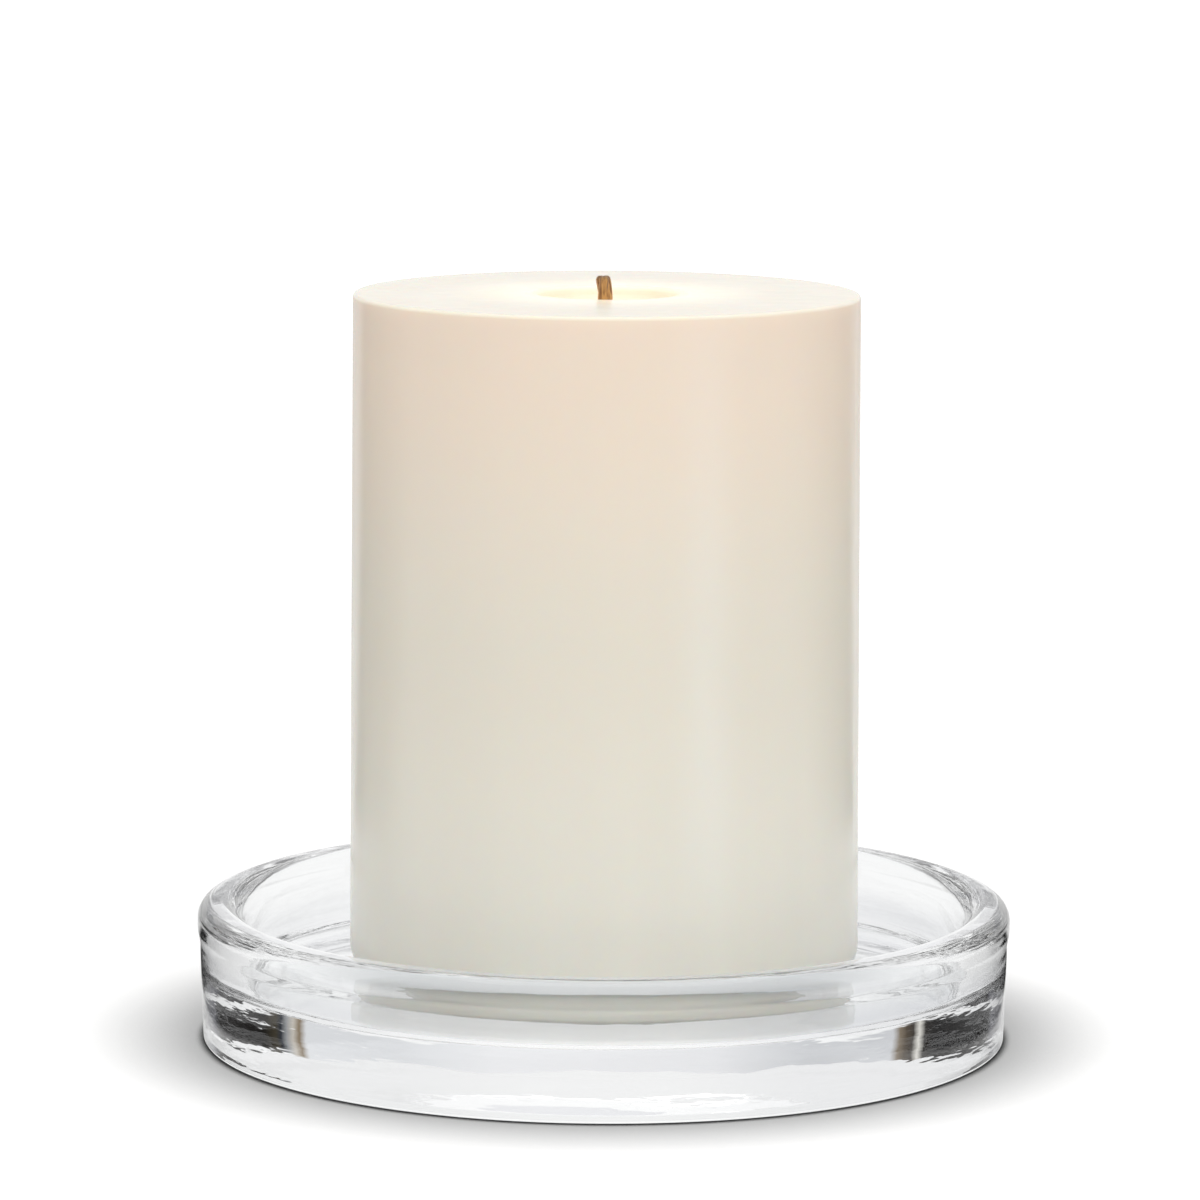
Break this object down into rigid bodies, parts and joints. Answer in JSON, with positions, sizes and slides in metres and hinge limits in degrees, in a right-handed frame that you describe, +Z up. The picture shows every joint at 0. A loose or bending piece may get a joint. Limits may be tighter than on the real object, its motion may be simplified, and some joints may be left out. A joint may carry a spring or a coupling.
{
  "type": "candle plate",
  "caption": "Round clear pressed-glass candle plate with a rounded lip, holding a lift-off ivory flameless pillar candle with a battery door and slide switch underneath.",
  "frame": {"origin": "centre of the plate's foot ring, on the table", "axes": "+Z up along the plate's and the candle's common axis; the viewer stands at -Y; the battery door's latch is at +X and its hinge at -X"},
  "size_m": [0.1216, 0.1216, 0.114],
  "materials": {
    "clear_glass": "clear polished pressed glass",
    "ivory_wax": "ivory wax with a soft satin sheen",
    "wick_brown": "dark brown braided look",
    "lens": "frosted warm translucent",
    "led_epoxy": "clear warm-white epoxy",
    "tinned_metal": "tinned, bright",
    "nickel_steel": "nickel-plated spring steel",
    "screw_steel": "zinc-plated",
    "ivory_plastic": "fine-textured moulded plastic",
    "board_green": "green solder mask",
    "chip_black": "moulded epoxy",
    "can_black": "sleeved can",
    "resistor_black": "chip resistor",
    "cell_jacket": "plain jacket over a steel can",
    "wire_red": "insulated",
    "wire_black": "insulated",
    "wire_white": "insulated",
    "switch_black": "moulded plastic"
  },
  "bodies": {
    "plate": {"glass_plate": "clear_glass"},
    "candle": {"wax_shell": "ivory_wax", "wick": "wick_brown", "glow_lens": "lens", "led_bulb": "led_epoxy", "led_legs": "tinned_metal", "led_wires": "wire_white", "module_cover": "ivory_plastic", "cover_screws": "screw_steel", "circuit_board": "board_green", "board_screws": "screw_steel", "control_chip": "chip_black", "capacitor": "can_black", "resistors": "resistor_black", "base_housing": "ivory_plastic", "battery_left": "cell_jacket", "battery_right": "cell_jacket", "positive_plate": "nickel_steel", "negative_plate": "nickel_steel", "bridge_plate": "nickel_steel", "battery_wire_red": "wire_red", "battery_wire_black": "wire_black", "switch_body": "switch_black", "switch_wires": "wire_white"},
    "battery_lid": {"battery_door": "ivory_plastic"},
    "switch_knob": {"switch_slider": "switch_black"}
  },
  "joints": [
    {"name": "candle_lift", "type": "slide", "parent": "plate", "child": "candle", "axis": [0, 0, 1], "range_m": [0, 0.1]},
    {"name": "battery_lid_hinge", "type": "hinge", "parent": "candle", "child": "battery_lid", "pos_m": [-0.0286, 0, 0.0117], "axis": [0, 1, 0], "range_deg": [0, 85]},
    {"name": "switch_slide", "type": "slide", "parent": "candle", "child": "switch_knob", "axis": [1, 0, 0], "range_m": [0, 0.004]}
  ],
  "couplings": [
    {"joint": "battery_lid_hinge", "follows": "candle_lift", "rad_per_m": 14.8}
  ]
}
